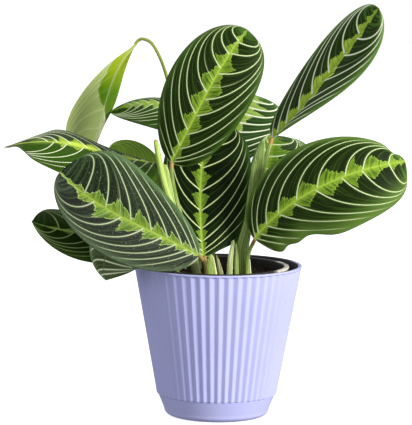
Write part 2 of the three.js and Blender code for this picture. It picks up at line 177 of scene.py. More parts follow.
# where the painted shade inside the pot starts and is full: by depth in the wall, height over the floor and
# under the brim, and y and height at the back, where it lies backShift further out
potInnerShade = dict(colour="#2B2838", depth=(2.7, 3.1), floor=(19, 19.2), brim=(127.5, 128.2),
               back=(20, 32), backShift=2.3, backLip=(126.7, 127.2))


def planPlace(node, place):
    # the distance from the pots' axis and the height of an object point
    x, y, z = node("SeparateXYZ", [place]).node.outputs
    return node("VectorMath", [node("CombineXYZ", [x, y])], out="Value", operation="LENGTH"), z


def lavenderPlastic():
    # injection moulded polypropylene with a fine matte skin: a soft broad sheen and a faint orange peel
    material, node = newMaterial("lavender_polypropylene")
    place = node("TexCoord", out="Object")
    cloud = node("TexNoise", {"Vector": place, "Scale": 18.0, "Detail": 3.0})
    grain = node("TexNoise", {"Vector": place, "Scale": 1400.0, "Detail": 2.0})  # 0.7 mm grain
    tint = node("ValToRGB", [cloud], stops=[(0.3, colour("#B8BCF3")), (0.7, colour("#BEC2F9"))])
    # the inside of the wall is painted dark as shade, by its depth below the wall's outer cone
    darkening = {key: value if key == "colour" else np.multiply(value, mm).tolist()
            for key, value in potInnerShade.items()}
    far, z = planPlace(node, place)
    cone = node("Math", [z, pot["slope"], (pot["rimRadius"] - pot["height"] * pot["slope"]) * mm],
                operation="MULTIPLY_ADD")
    # round the back the painted shade reaches over the lip too, so its dark edge lies further out
    toBack = node("MapRange", [node("SeparateXYZ", [place], out=1), *darkening["back"], 0, darkening["backShift"]])
    back = allOf(node, toBack, node("MapRange", [z, *darkening["backLip"]]))
    depth = node("Math", [node("Math", [cone, far], operation="SUBTRACT"), back], operation="ADD")
    belowBrim = node("Math", [node("MapRange", [z, *darkening["brim"], 1, 0]),
                              node("MapRange", [back, 0, darkening["backShift"]])], operation="MAXIMUM")
    innerShade = allOf(node, node("MapRange", [depth, *darkening["depth"]]), node("MapRange", [z, *darkening["floor"]]),
                   belowBrim)
    tint = painted(node, tint, (innerShade, colour(darkening["colour"])))
    gloss = node("MapRange", [grain, 0, 1, 0.44, 0.56])
    skin = node("Bump", {"Strength": 0.25, "Distance": 0.06 * mm, "Height": grain})
    node("OutputMaterial", [node("BsdfPrincipled", {
        "Base Color": tint, "Roughness": gloss, "Normal": skin, "IOR": 1.49})])
    return material


def coverPotRadius(z):
    return pot["rimRadius"] - pot["slope"] * (pot["height"] - z)


def makeCoverPot(material):
    # a turned wall whose radius is drawn in by depth x (1 - |2 f - 1|), with f the share of the way from
    # one ridge to the next, so that each flute has two flat faces
    p = pot
    top, under = p["height"], p["floorTop"] - p["floor"]
    wallRows = np.concatenate([[p["seam"], p["seam"] + 0.25],
                               np.linspace(p["seam"] + 0.8, p["fluteTop"] - 4, 16),
                               np.linspace(p["fluteTop"] - 1.2, p["fluteTop"], 5)])
    outer = [[coverPotRadius(z), z] for z in wallRows]
    innerTop, innerFoot = coverPotRadius(top) - p["wall"], coverPotRadius(p["floorTop"]) - p["wall"]
    foot = easedProfile(
        [[0, under], [p["footTopRadius"] - p["wall"], under], [p["footRadius"] - p["footWidth"], p["seat"]],
         [p["footRadius"], p["seat"]], [p["footTopRadius"], p["seam"]]], [0.6, 0.5, 0.5])
    lip = easedProfile([[coverPotRadius(top - 1.1), top - 1.1], [p["rimRadius"], top],
                        [innerTop, top], [coverPotRadius(top - 6) - p["wall"], top - 6]], [0.6, 0.9])
    inside = [[coverPotRadius(z) - p["wall"], z] for z in np.linspace(top - 9, p["floorTop"] + 2, 8)]
    profile = np.array(foot + outer + lip + inside + [[innerFoot, p["floorTop"]], [0, p["floorTop"]]])
    points, turn = turned(profile, p["flutes"] * 12)
    z = profile[:, 1:]
    isWall = np.zeros((len(profile), 1))
    isWall[len(foot):len(foot) + len(outer)] = 1
    fade = isWall * (1 - smoothstep(z, p["fluteTop"] - p["fluteFade"], p["fluteTop"]))
    way = (p["flutes"] * (turn - math.radians(p["fluteTurn"])) / (2 * np.pi) + 0.5) % 1
    drawn = p["fluteDepth"] * fade * (1 - np.abs(2 * way - 1))
    r = profile[:, :1]
    points[..., :2] *= ((r - drawn) / np.maximum(r, 1e-6))[..., None]
    return makePiece("cover_pot_fluted", points.reshape(-1, 3), gridQuads(*points.shape[:2], closed=True),
                     [material], ["cover_pot"], weld=True)


def makeSaucer(material):
    s = saucerSizes
    bend = np.linspace(0, np.pi / 2, 9)
    corner = np.stack([s["footRadius"] + (s["bendRadius"] - s["footRadius"]) * np.sin(bend),
                       s["bendHeight"] * (1 - np.cos(bend))], -1).tolist()
    rim = easedProfile([[s["bendRadius"] + 0.5, s["bendHeight"] + 1.6], [s["topRadius"], s["top"]],
                        [s["topRadius"] - s["wall"], s["top"]],
                        [s["bendRadius"] - s["wall"] + 0.5, s["bendHeight"] + 2]], [0.5, 0.5])
    inside = easedProfile([[s["bendRadius"] - s["wall"], s["bendHeight"]], [s["footRadius"], s["floor"]],
                           [0, s["floor"]]], [1.0])
    profile = [[0, 0]] + corner + rim + inside
    points, _ = turned(profile, 160)
    return makePiece("saucer_smooth", points.reshape(-1, 3), gridQuads(*points.shape[:2], closed=True),
                     [material], ["saucer"], weld=True)


plastic = lavenderPlastic()
makeCoverPot(plastic)
makeSaucer(plastic)
print("pot and saucer made")

# The nursery pot and the soil in it
nursery = dict(lipRadius=60, lipWidth=4.4, baseRadius=41.5, base=19.3, wall=1.6, floor=2, lipDepth=5,
               top=127.5)
soilSizes = dict(top=119.5, crown=2, bottom=21.6, gap=0.6, relief=1.3, crumbs=1500, crumbSize=(0.5, 1.9))


def greyPlastic():
    # thin vacuum formed polypropylene, a little chalky, with soil dust on it
    material, node = newMaterial("nursery_polypropylene")
    place = node("TexCoord", out="Object")
    dust = node("TexNoise", {"Vector": place, "Scale": 90.0, "Detail": 6.0, "Roughness": 0.7})
    tint = node("ValToRGB", [dust], stops=[
        (0.35, colour("#8E867A")), (0.5, colour("#D6D1C6")), (0.7, colour("#E2DDD3"))])
    # it is painted almost black all over, as shade and as wet soil stain, but for the lip on its right
    x, y, _ = node("SeparateXYZ", [place]).node.outputs
    far, z = planPlace(node, place)
    unshadedLip = allOf(node, *(node("MapRange", [value, *(np.array(edge) * mm).tolist()]) for value, edge in (
        (x, (46, 50)), (y, (30, 25)), (z, (125.5, 126.2)), (far, (55.6, 56.2)))))
    crumbs = node("TexNoise", {"Vector": place, "Scale": 420.0, "Detail": 4.0, "Roughness": 0.7})
    darkening = node("ValToRGB", [crumbs], stops=[
        (0.35, colour("#0C0706")), (0.58, colour("#20120D")), (0.75, colour("#4A2C20"))])
    skin = node("Bump", {"Strength": 0.3, "Distance": 0.1 * mm, "Height": dust})
    node("OutputMaterial", [node("BsdfPrincipled", {
        "Base Color": painted(node, darkening, (unshadedLip, tint)), "Roughness": 0.5, "Normal": skin})])
    return material


def soilMaterial():
    # damp peat with bark crumbs: almost black in its hollows, brown on top, quite without gloss
    material, node = newMaterial("peat_potting_soil")
    place = node("TexCoord", out="Object")
    crumb = node("TexVoronoi", {"Vector": place, "Scale": 420.0}, out="Color")  # 2.4 mm crumbs
    cloud = node("TexNoise", {"Vector": place, "Scale": 160.0, "Detail": 5.0})
    tint = node("ValToRGB", [painted(node, crumb, (0.4, cloud))], stops=[
        (0.3, colour("#0B0807")), (0.55, colour("#1C120E")), (0.75, colour("#3A2219")),
        (0.88, colour("#6E4A38"))])
    skin = node("Bump", {"Strength": 0.8, "Distance": 0.6 * mm, "Height": cloud})
    node("OutputMaterial", [node("BsdfPrincipled", {
        "Base Color": tint, "Roughness": 0.92, "Normal": skin, "Specular IOR Level": 0.25})])
    return material


def nurseryInner(z):
    # the inner radius of the nursery pot's wall, and so the outer one of the soil
    n = nursery
    share = (z - pot["floorTop"]) / (n["top"] - pot["floorTop"])
    return n["baseRadius"] + (n["lipRadius"] - n["lipWidth"] - n["baseRadius"]) * share


def makeNurseryPot(material):
    n = nursery
    inside, lipFoot = n["base"] + n["floor"], n["top"] - n["lipDepth"]
    profile = easedProfile(
        [[0, n["base"]], [n["baseRadius"], n["base"]], [nurseryInner(lipFoot) + n["wall"], lipFoot],
         [n["lipRadius"], lipFoot], [n["lipRadius"], n["top"]], [nurseryInner(n["top"]), n["top"]],
         [nurseryInner(n["top"] - 4), n["top"] - 4], [nurseryInner(inside), inside], [0, inside]],
        [1, 0.4, 0.5, 1.1, 1.1, 0.5, 0.8])
    points, _ = turned(profile, 160)
    return makePiece("nursery_pot_lipped", points.reshape(-1, 3), gridQuads(*points.shape[:2], closed=True),
                     [material], ["nursery_pot"], weld=True)


def makeSoil(material):
    # the top is a dome of height crown x (1 - r^2) with three sine ripples of shorter and shorter waves;
    # crumbs are small icosahedra, stretched, turned and strewn over it with a fixed seed
    s = soilSizes
    edge = nurseryInner(s["top"]) - s["gap"]
    rings = np.linspace(1, 0, 60)
    profile = [[0, s["bottom"]], [nurseryInner(s["bottom"]) - s["gap"], s["bottom"]]]
    profile += [[edge * r, s["top"] + s["crown"] * (1 - r * r)] for r in rings]
    points, _ = turned(profile, 150)

    def lumps(x, y):
        coarse = np.sin(x * 0.41 + 1.3) * np.cos(y * 0.37 - 0.6) + np.sin((x - y) * 0.23)
        fine = np.sin(x * 1.7 + 2 * np.sin(y * 0.9)) * np.cos(y * 1.5 + 2 * np.sin(x * 0.8))
        finest = np.sin(x * 4.1 + 3 * np.sin(y * 2.3)) * np.cos(y * 3.7 + 3 * np.sin(x * 2.1))
        return 0.3 * coarse + 0.35 * fine + 0.2 * finest

    x, y = points[2:, :, 0], points[2:, :, 1]
    inward = np.clip(4 * (1 - np.hypot(x, y) / edge), 0, 1)
    points[2:, :, 2] += s["relief"] * lumps(x, y) * inward
    chance = np.random.default_rng(7)
    count = s["crumbs"]
    ball = bmesh.new()
    bmesh.ops.create_icosphere(ball, subdivisions=1, radius=1)
    unit = np.array([v.co for v in ball.verts])
    triangles = np.array([[v.index for v in f.verts] for f in ball.faces])
    ball.free()
    stretch = chance.uniform(0.55, 1.25, (count, 1, 3)) * chance.uniform(*s["crumbSize"], (count, 1, 1)) \
        * chance.uniform(0.5, 1, (count, 1, 1))
    spun = chance.normal(size=(count, 3, 3))
    spun, _ = np.linalg.qr(spun)
    spun[np.linalg.det(spun) < 0, :, 0] *= -1
    shape = unit * (1 + 0.25 * chance.normal(size=(count, len(unit), 1)))
    shape = np.einsum("nij,nvj->nvi", spun, shape * stretch)
    far = edge * 0.97 * np.sqrt(chance.uniform(0, 1, count))
    angle = chance.uniform(0, 2 * np.pi, count)
    cx, cy = far * np.cos(angle), far * np.sin(angle)
    cz = s["top"] + s["crown"] * (1 - (far / edge) ** 2) + s["relief"] * lumps(cx, cy) + 0.1
    crumbs = shape + np.stack([cx, cy, cz], -1)[:, None]
    strewn = (triangles[None] + (np.arange(count) * len(unit))[:, None, None]).reshape(-1, 3)
    piece = makePiece("potting_soil_crumbed", points.reshape(-1, 3),
                      gridQuads(*points.shape[:2], closed=True), [material],
                      ["potting_soil"], weld=True)
    addTriangles(piece, crumbs.reshape(-1, 3), strewn)
    return piece


def addTriangles(piece, points, triangles):
    # joins loose closed shapes, given in mm, to a piece
    shell = bmesh.new()
    shell.from_mesh(piece.data)
    more = bpy.data.meshes.new("more")
    more.from_pydata((points * mm).tolist(), [], triangles.tolist())
    shell.from_mesh(more)
    for face in shell.faces:
        face.smooth = True
    shell.to_mesh(piece.data)
    shell.free()
    bpy.data.meshes.remove(more)


makeNurseryPot(greyPlastic())
makeSoil(soilMaterial())
print("nursery pot and soil made")

# Leaves, in mm and degrees.
# rib: points of the midrib at its thirds. face: the way the upper surface looks, at base and tip if two.
# half, full, dent: the left and the right half's reach, outline and notches. lift, curl: degrees that the
# halves rise and turn back, one for all, one for base and tip, or such a pair for each half. roots: where
# veins leave the midrib on each side, as shares of its length; thin: where a fine vein starts.
# look: what differs in its colours from the common ones below.
leafGrid = dict(rows=150, half=46, spread=1.3, thickness=0.7, marginThickness=0.3, baseHalf=1.2,
                tipHalf=0.8, pillow=0.3, groove=0.35, grooveHalf=1.1, ridge=0.8, ridgeHalf=0.9, sunk=0.3)
commonRoots = [0.01, 0.045, 0.115, 0.21, 0.34, 0.48, 0.645, 0.79]
leafCommon = dict(lift=0, curl=30, dent=[[], []], thin=[[], []], look={},
                  roots=[commonRoots, [root * 0.96 + 0.012 for root in commonRoots]])
leafColours = dict(dark="#152307", beside="#2B4512", margin="#3F5C22", stria="#4A6A26", lime="#7A9E2A",
                   limeDeep="#3C5818", limeEdge="#8FB044", vein="#C6D3A4", rib="#98B840", under="#8FA382",
                   underVein="#B4C49E", teeth=9.5, core=0.16, rough=0.5, lastRoot=0.84, marginWidth=(8, 8),
                   dust=0, sweep=1, veinHalf=(0.52, 0.24), lobes="early", ribBelow=1, glows=[],
                   ribHalf=(0.9, 0.35), ribFade=(0.84, 0.97), bandEdge=(0.5, 1.9), fray=3.5,
                   veinFade=(0.82, 0.97),
                   teethPlaces=[0, 0.03, 0.1, 0.25, 0.45, 0.65, 0.8, 0.9, 1],
                   teethShares=[0.15, 0.35, 0.55, 0.8, 1, 1, 0.55, 0.3, 0.1])
# how far the lime reaches between one vein (0) and the next towards the tip (1)
lobeShapes = dict(
    early=[(0.0, 0.0), (0.06, 0.4), (0.12, 0.75), (0.19, 1.0), (0.27, 0.74), (0.32, 0.84), (0.41, 0.5),
           (0.47, 0.58), (0.57, 0.28), (0.64, 0.36), (0.74, 0.12), (0.82, 0.17), (0.92, 0.03), (1.0, 0.0)],
    middle=[(0.0, 0.05), (0.1, 0.2), (0.19, 0.42), (0.26, 0.6), (0.31, 0.54), (0.39, 0.82), (0.45, 1.0),
            (0.51, 0.72), (0.56, 0.8), (0.64, 0.42), (0.7, 0.48), (0.8, 0.16), (0.9, 0.1), (1.0, 0.0)])
blades = {
    "top_middle": dict(
        rib=[[-40, -8, 214], [-20.7, -18, 254], [-0.5, -18, 293], [22.6, -6, 326.5]],
        face=[[0, -1, 0.15], [0, -1, 0.2]], half=[37, 37], full=[[0.6, 0.52], [0.43, 0.34]],
        lift=[15, 10], curl=35,
        roots=[[0.01, 0.044, 0.124, 0.236, 0.35, 0.503, 0.684, 0.79],
               [0.01, 0.032, 0.105, 0.209, 0.34, 0.454, 0.643, 0.8, 0.89]], thin=[[0.59], [0.54]],
        look=dict(teeth=11.8, core=0.3, marginWidth=(7, 7), lastRoot=0.9,
                  glows=[(0.97, 1.1, 9, "#4C7530", 0.7)])),
    "top_right": dict(
        rib=[[44, 10, 234], [75, 6, 269], [103, 0, 306], [131, -10, 346]],
        face=[[-0.74, -0.28, 0.62], [-0.57, -0.67, 0.48]], half=[35, 39.5],
        full=[[0.4, 0.46], [0.95, 0.52]], lift=[22, 16], curl=[24, 30],
        roots=[[0.004, 0.045, 0.12, 0.234, 0.36, 0.526, 0.675, 0.82],
               [0.03, 0.1, 0.177, 0.305, 0.468, 0.664, 0.79]], thin=[[0.455], [0.56]],
        look=dict(dark="#20360C", beside="#44682A", margin="#62883A", stria="#668E3E", lime="#C2E04C",
                  core=0.32, limeDeep="#98BC3A", vein="#F8FCE4", teeth=10, marginWidth=(7, 11),
                  veinHalf=(0.72, 0.46), teethPlaces=[0, 0.1, 0.3, 0.5, 0.7, 0.85, 0.95, 1],
                  teethShares=[0.8, 0.9, 1, 1, 0.8, 0.6, 0.3, 0.1])),
    "right": dict(
        rib=[[30, -30, 153], [63, -42, 187], [107, -45, 210], [154.3, -30, 220]],
        face=[[0, -1, 0.35], [0, -1, 0.3]], half=[40, 43.5], full=[[0.56, 0.68], [0.3, 0.28]],
        lift=10, curl=[[40, 30], [30, 30]],
        dent=[[[0.95, 0.32, 0.03]], [[0.12, 0.19, 0.06], [0.27, 0.26, 0.13]]],
        roots=[[0.01, 0.04, 0.116, 0.212, 0.342, 0.474, 0.644, 0.746],
               [0.012, 0.046, 0.11, 0.21, 0.315, 0.46, 0.62, 0.74]],
        look=dict(teeth=12, core=0.26, margin="#5A7832", marginWidth=(8, 24), lastRoot=0.9,
                  teethPlaces=[0, 0.03, 0.1, 0.25, 0.45, 0.65, 0.85, 0.95, 1],
                  teethShares=[0.15, 0.35, 0.55, 0.8, 1, 1, 0.75, 0.4, 0.1])),
    "front_left": dict(
        rib=[[-15, -52, 142], [-55, -68, 164], [-94, -76, 185], [-130.3, -66, 212]],
        face=[[0, -1, 0.35], [0, -1, 0.3]], half=[35, 46], full=[[0.5, 0.52], [0.62, 0.26]],
        lift=10, curl=35,
        roots=[[0.037, 0.083, 0.157, 0.255, 0.382, 0.539, 0.728, 0.885],
               [0.01, 0.046, 0.12, 0.22, 0.331, 0.474, 0.651, 0.808]], thin=[[0.62], [0.551]],
        # front_left's greyish colours carry a painted sheen, the soft light reflected off the blade,
        # strongest on its left, lower half: darkLeft, besideLeft and marginLeft
        look=dict(dark="#1A2414", darkLeft="#282C26", beside="#33482A", besideLeft="#44503E",
                  margin="#56704A", limeEdge="#B4CC80", marginLeft="#5C6E52", stria="#56704E",
                  lime="#779834", limeDeep="#446022", vein="#B6C39C", dust=1, lobes="middle",
                  teeth=13.2, core=0.22, rib="#8CA642", marginWidth=(9, 11),
                  teethShares=[0.1, 0.3, 0.45, 0.7, 1, 1, 0.5, 0.2, 0.05])),
    "far_left": dict(
        rib=[[-53, 40, 210], [-97, 18, 220.5], [-136, 2, 230], [-181, -4, 226]],
        face=[[0, -0.2, 0.98], [0, -0.48, 0.88]], half=[55.5, 51], full=[[0.6, 1], [1.1, 1.8]],
        lift=[[5, 5], [5, 14]], curl=35,
        dent=[[[0.94, 0.72, 0.055]], [[0.78, 0.14, 0.12]]],
        roots=[[0.01, 0.045, 0.115, 0.21, 0.33, 0.48, 0.6, 0.69],
               [0.03, 0.1, 0.2, 0.26, 0.34, 0.45, 0.57, 0.66, 0.73]],
        look=dict(dark="#2A3826", darkLeft="#2F4F0D", beside="#465C3C", besideLeft="#385C10",
                  margin="#4E6A44", marginLeft="#3F620F", vein="#F2F6D8", lime="#A4BA3E",
                  limeDeep="#809F2C", teeth=12, core=0.28, lastRoot=0.78, rib="#B4CC58", sweep=1.25,
                  teethPlaces=[0, 0.12, 0.17, 0.24, 0.28, 0.34, 0.4, 0.6, 0.66, 0.72, 1],
                  teethShares=[0.2, 0.5, 1, 0.9, 0.3, 0.5, 1, 1, 0.3, 0.05, 0.02],
                  veinHalf=(0.42, 0.24),
                  glows=[(0.44, 0.58, 5, "#CCE054", 0.6), (0.68, 0.82, 5, "#7E9C44", 0.5),
                         (0.93, 1.1, 20, "#5E6450", 0.95)])),
    "young_drooping": dict(
        rib=[[-73, 80, 309], [-91.5, 80, 283], [-102, 79, 250], [-113.5, 78, 211]],
        face=[-0.82, 0.57, 0.2], half=[35, 27], full=[[1.6, 0.42], [1, 0.8]],
        lift=25, curl=20, dent=[[], [[0.82, 0.42, 0.16]]],
        look=dict(under="#ECF5BE", underLeft="#D2E694", underVein="#E0EABA", stria="#B0C878",
                  veinHalf=(0.4, 0.2), dark="#7C9A3C", beside="#8CA84A", ribBelow=0.35,
                  margin="#93AC58", lime="#9CBF4A", limeDeep="#86AA3A", vein="#CBD8A0",
                  # fold: where the fold runs, beyond which light shining through the blade is painted
                  # yellow-green
                  fold=[(0.2, 0.0), (0.28, 0.12), (0.35, 0.24), (0.42, 0.24), (0.5, 0.28), (0.6, 0.43),
                        (0.66, 0.62), (0.72, 0.87), (0.77, 1.0)])),
    "back_left": dict(
        rib=[[-15, 88, 238], [-41, 90, 254], [-69, 91, 257], [-96, 92, 249]],
        face=[0, -0.33, 0.94], half=[35, 33.5], full=[[0.5, 0.7], [0.5, 0.85]],
        roots=[[0.01, 0.05, 0.12, 0.21, 0.31, 0.42, 0.53, 0.64, 0.73],
               [0.01, 0.05, 0.12, 0.22, 0.34, 0.46, 0.57, 0.68, 0.76]],
        look=dict(dark="#35491F", darkLeft="#2C4A14", beside="#5C7836", besideLeft="#3C5C1C",
                  margin="#6C8A48", marginLeft="#3A5A22", vein="#D8E4BC", lime="#A0C056",
                  limeDeep="#7C9E40", teeth=9, core=0.45, sweep=1.5,
                  glows=[(0.0, 0.45, 12, "#A6C462", 0.5)])),
    "behind_left": dict(
        rib=[[-57, 38, 165], [-61, 58, 188], [-74, 72, 205.5], [-97, 78, 214]],
        face=[0.2, 0.9, -0.4], half=[20, 24], full=[[0.5, 0.42], [0.5, 0.42]],
        # under, underVein and stria are painted light: the mid-green of light shining through the blade, in
        # place of the pale underside
        look=dict(under="#6C9628", underVein="#AEC674", stria="#94B848")),
    "low_left": dict(
        rib=[[-45, 5, 137], [-87, -2, 150], [-123, -8, 156], [-157, -8, 164]],
        face=[[0, -0.6, 0.75], [0, -0.5, 0.8]], half=[28.5, 39], full=[[1, 0.95], [0.5, 0.22]],
        look=dict(dark="#182B06", beside="#2A4410", margin="#425F1A", stria="#36541C", vein="#A0B078",
                  lime="#4F7420", limeDeep="#3A5A18", limeEdge="#54782A", rib="#8FA858", teeth=4, core=0.4,
                  veinHalf=(0.4, 0.22), sweep=1.3)),
    "over_rim": dict(
        rib=[[-24, -28, 134], [-60, -44, 156], [-88, -49, 149], [-93, -49, 120]],
        face=[[0, -0.6, 0.75], [-0.4, -0.9, 0.2]], half=[30, 35], full=[[1.2, 0.22], [0.7, 1]],
        roots=[[0.1, 0.25, 0.4, 0.53, 0.64, 0.74, 0.83, 0.91]] * 2,
        look=dict(dark="#44542F", beside="#6A8650", margin="#6E8C5C", stria="#8EA87A", vein="#F4FADC",
                  rib="#66804C", veinHalf=(0.6, 0.36),
                  lime="#566E40", limeDeep="#46603A", limeEdge="#566E40", teeth=2, core=0.4, sweep=0.25,
                  lastRoot=0.95)),
    "centre": dict(
        rib=[[-12, -22, 137], [-15, -2, 173], [-14, 20, 212], [-6, 40, 249]],
        face=[0, -1, 0.3], half=[34, 43], full=[[0.5, 0.35], [0.36, 0.28]],
        lift=10, dent=[[], [[0.02, 0.45, 0.05]]],
        # these near black greens are painted shade: they darken the whole leaf for the shadow it stands in
        look=dict(dark="#0C1605", beside="#1E3410", margin="#30501C", stria="#365820", vein="#D3E0A4",
                  teeth=8.5, core=0.1, lime="#668626", limeDeep="#42621B", limeEdge="#7F9F3A",
                  lobes="middle")),
    "behind_middle": dict(
        rib=[[3, 54, 204], [13, 60, 235], [20, 62, 253], [26, 62, 269]],
        face=[0.1, -1, 0.3], half=[26, 37], full=[[0.5, 0.4], [0.5, 0.24]],
        lift=10,
        look=dict(dark="#2A4220", beside="#486832", margin="#567C3C", stria="#628A4A", vein="#F8FCE6",
                  sweep=0.7, teeth=20, core=0.4, veinHalf=(0.62, 0.4), lastRoot=0.92,
                  teethPlaces=[0, 0.35, 0.45, 0.52, 0.6, 0.8, 0.95, 1],
                  teethShares=[0.25, 0.3, 0.45, 0.3, 1, 1, 0.9, 0.5], lime="#B6D66C", limeDeep="#8EB04C",
                  limeEdge="#C8E090")),
    "behind_right": dict(
        rib=[[27, 22, 161], [34, 26, 185], [40.5, 30, 209], [45, 34, 235.5]],
        face=[0.3, -1, 0.2], half=[14, 43], full=[[0.5, 0.4], [0.5, 0.22]],
        lift=[[0, 0], [10, 10]],
        look=dict(dark="#1A2A12", beside="#34522A", margin="#4C6A44", stria="#4E7030", teeth=20, core=0.4,
                  lastRoot=0.92, teethPlaces=[0, 0.2, 0.5, 0.8, 0.92, 1],
                  teethShares=[0.6, 0.8, 1, 1, 0.8, 0.4], lime="#608624", limeDeep="#426818", sweep=1.4)),
}


def unitVectors(v):
    return v / np.maximum(np.linalg.norm(v, axis=-1, keepdims=True), 1e-9)


def ribPoint(rib, u):
    # the cubic through four points at u = 0, 1/3, 2/3 and 1
    a, b, c, d = np.asarray(rib, float)
    u = np.asarray(u, float)[:, None]
    return (-4.5 * (u - 1 / 3) * (u - 2 / 3) * (u - 1) * a + 13.5 * u * (u - 2 / 3) * (u - 1) * b
            - 13.5 * u * (u - 1 / 3) * (u - 1) * c + 4.5 * u * (u - 1 / 3) * (u - 2 / 3) * d)


def bladeSurface(leaf, u, v):
    # across each half the blade follows an arc of a circle that starts at lift and turns back by curl:
    # across = w (sin lift - sin(lift - curl s)) / curl, up = w (cos(lift - curl s) - cos lift) / curl,
    # with s = |v|, 0 at the midrib and 1 at the margin, and w the half's reach, which is u^a (1 - u)^b
    # scaled to half at its widest
    point = ribPoint(leaf["rib"], u)
    along = unitVectors(ribPoint(leaf["rib"], u + 1e-3) - ribPoint(leaf["rib"], u - 1e-3))
    base, tip = np.broadcast_to(np.asarray(leaf["face"], float), (2, 3))
    up = base * (1 - u[:, None]) + tip * u[:, None]
    up = unitVectors(up - (up * along).sum(1, keepdims=True) * along)
    right = np.cross(along, up)
    lifts, curls = (np.broadcast_to(leaf[key], (2, 2)) for key in ("lift", "curl"))
    reaches, acrosses, heights, fullReaches = [], [], [], []
    for side in (0, 1):
        a, b = leaf["full"][side]
        widest = (a / (a + b)) ** a * (b / (a + b)) ** b
        w = leaf["half"][side] * u ** a * np.clip(1 - u, 0, 1) ** b / widest
        fullReaches.append(np.maximum(w, leafGrid["baseHalf"])[:, None] + 0 * v)
        for place, depth, spread in leaf["dent"][side]:
            w = w * (1 - depth * np.exp(-((u - place) / spread) ** 2))
        narrowest = np.where(u < 0.5, leafGrid["baseHalf"],
                             np.clip(leafGrid["tipHalf"] * (1 - u) / 0.02, 0.12, leafGrid["tipHalf"]))
        w = np.maximum(w, narrowest)[:, None]
        lift, curl = (np.radians(ends[side][0] * (1 - u) + ends[side][1] * u)[:, None]
                      for ends in (lifts, curls))
        curl = curl + 1e-4  # so that a flat half divides by no zero
        turn = lift - curl * np.abs(v)
        reaches.append(w + 0 * turn)
        acrosses.append((1 if side else -1) * w * (np.sin(lift) - np.sin(turn)) / curl)
        heights.append(w * (np.cos(turn) - np.cos(lift)) / curl)
    left = v < 0
    reach, across, height, fullReach = (
        np.where(left, *pair) for pair in (reaches, acrosses, heights, fullReaches))
    surface = point[:, None] + across[..., None] * right[:, None] + height[..., None] * up[:, None]
    return surface, reach, fullReach


def veinRoot(u, v, sweep):
    # a vein that leaves the midrib at r reaches u = r + (1 - r) r^0.4 h(v), with
    # h = sweep (0.185 v + 0.386 v^3) / 0.425; this finds r for each u and v by halving
    h = sweep * (0.185 * np.abs(v) + 0.386 * np.abs(v) ** 3) / 0.425
    low, high = np.zeros(np.broadcast(u, v).shape), u + 0 * v
    for _ in range(30):
        middle = (low + high) / 2
        over = middle + (1 - middle) * middle ** 0.4 * h > u
        low, high = np.where(over, low, middle), np.where(over, middle, high)
    return (low + high) / 2


